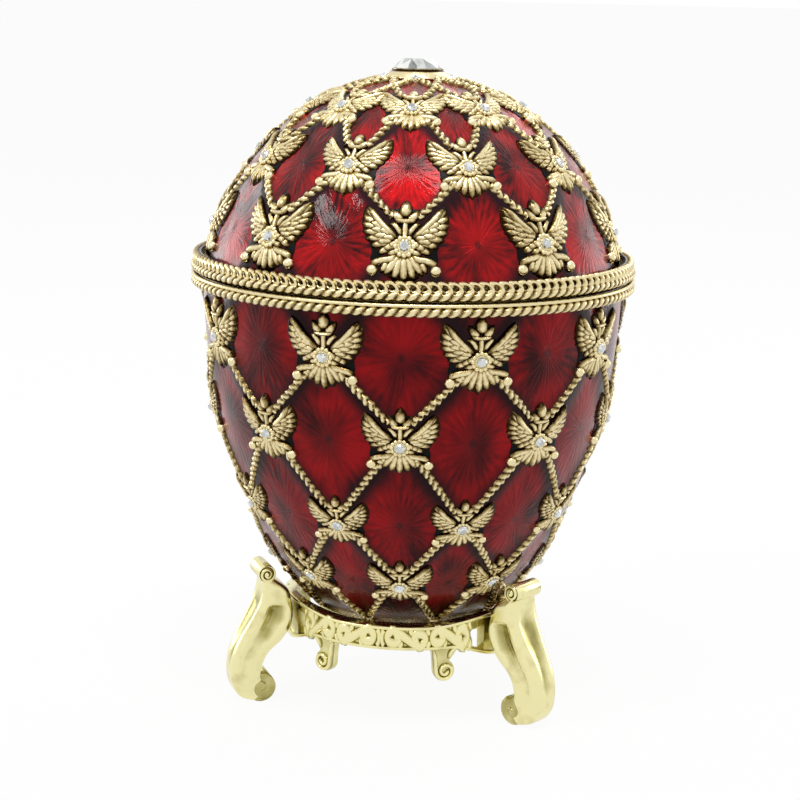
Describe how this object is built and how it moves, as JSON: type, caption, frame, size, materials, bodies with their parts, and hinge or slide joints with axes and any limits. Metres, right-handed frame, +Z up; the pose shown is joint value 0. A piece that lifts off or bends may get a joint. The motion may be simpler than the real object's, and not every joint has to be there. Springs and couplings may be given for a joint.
{
  "type": "egg trinket box on stand",
  "caption": "Egg-shaped enamelled box with a gilt lattice, a rear-hinged lid with a crystal finial, and a gallery stand on scroll legs that the egg lifts out of.",
  "frame": {"origin": "on the floor under the three feet, on the egg's axis", "axes": "+Z up through the finial, -Y towards the front of the egg, hinge at +Y"},
  "size_m": [0.077, 0.0783, 0.1119],
  "materials": {
    "red_enamel": "gloss translucent enamel over engine-turned metal",
    "egg_gilt": "pale champagne gilt casting",
    "stand_gilt": "polished pale lemon gilt",
    "clear_crystal": "faceted clear crystal",
    "steel": "plain"
  },
  "bodies": {
    "stand": {"gallery_ring": "stand_gilt", "front_right_leg": "stand_gilt", "rear_leg": "stand_gilt", "front_left_leg": "stand_gilt"},
    "bowl": {"bowl_shell": "red_enamel", "bowl_trellis": "egg_gilt", "bowl_rim": "egg_gilt", "bowl_hinge_leaf": "egg_gilt", "hinge_pin": "steel", "bowl_magnet": "steel", "bowl_crystal_a_1": "clear_crystal", "bowl_crystal_a_2": "clear_crystal", "bowl_crystal_a_3": "clear_crystal", "bowl_crystal_a_4": "clear_crystal", "bowl_crystal_a_5": "clear_crystal", "bowl_crystal_a_6": "clear_crystal", "bowl_crystal_a_7": "clear_crystal", "bowl_crystal_a_8": "clear_crystal", "bowl_crystal_a_9": "clear_crystal", "bowl_crystal_b_1": "clear_crystal", "bowl_crystal_b_2": "clear_crystal", "bowl_crystal_b_3": "clear_crystal", "bowl_crystal_b_4": "clear_crystal", "bowl_crystal_b_5": "clear_crystal", "bowl_crystal_b_6": "clear_crystal", "bowl_crystal_b_7": "clear_crystal", "bowl_crystal_b_8": "clear_crystal", "bowl_crystal_b_9": "clear_crystal"},
    "lid": {"lid_shell": "red_enamel", "lid_trellis": "egg_gilt", "lid_rim": "egg_gilt", "lid_hinge_leaf": "egg_gilt", "lid_magnet": "steel", "finial_bezel": "egg_gilt", "finial_crystal": "clear_crystal", "lid_crystal_a_1": "clear_crystal", "lid_crystal_a_2": "clear_crystal", "lid_crystal_a_3": "clear_crystal", "lid_crystal_a_4": "clear_crystal", "lid_crystal_a_5": "clear_crystal", "lid_crystal_a_6": "clear_crystal", "lid_crystal_a_7": "clear_crystal", "lid_crystal_a_8": "clear_crystal", "lid_crystal_a_9": "clear_crystal", "lid_crystal_b_1": "clear_crystal", "lid_crystal_b_2": "clear_crystal", "lid_crystal_b_3": "clear_crystal", "lid_crystal_b_4": "clear_crystal", "lid_crystal_b_5": "clear_crystal", "lid_crystal_b_6": "clear_crystal", "lid_crystal_b_7": "clear_crystal", "lid_crystal_b_8": "clear_crystal", "lid_crystal_b_9": "clear_crystal"}
  },
  "joints": [
    {"name": "egg_lift", "type": "slide", "parent": "stand", "child": "bowl", "axis": [0, 0, 1], "range_m": [0, 0.06]},
    {"name": "lid_hinge", "type": "hinge", "parent": "bowl", "child": "lid", "pos_m": [0, 0.0383, 0.0755], "axis": [-1, 0, 0], "range_deg": [0, 100]}
  ]
}
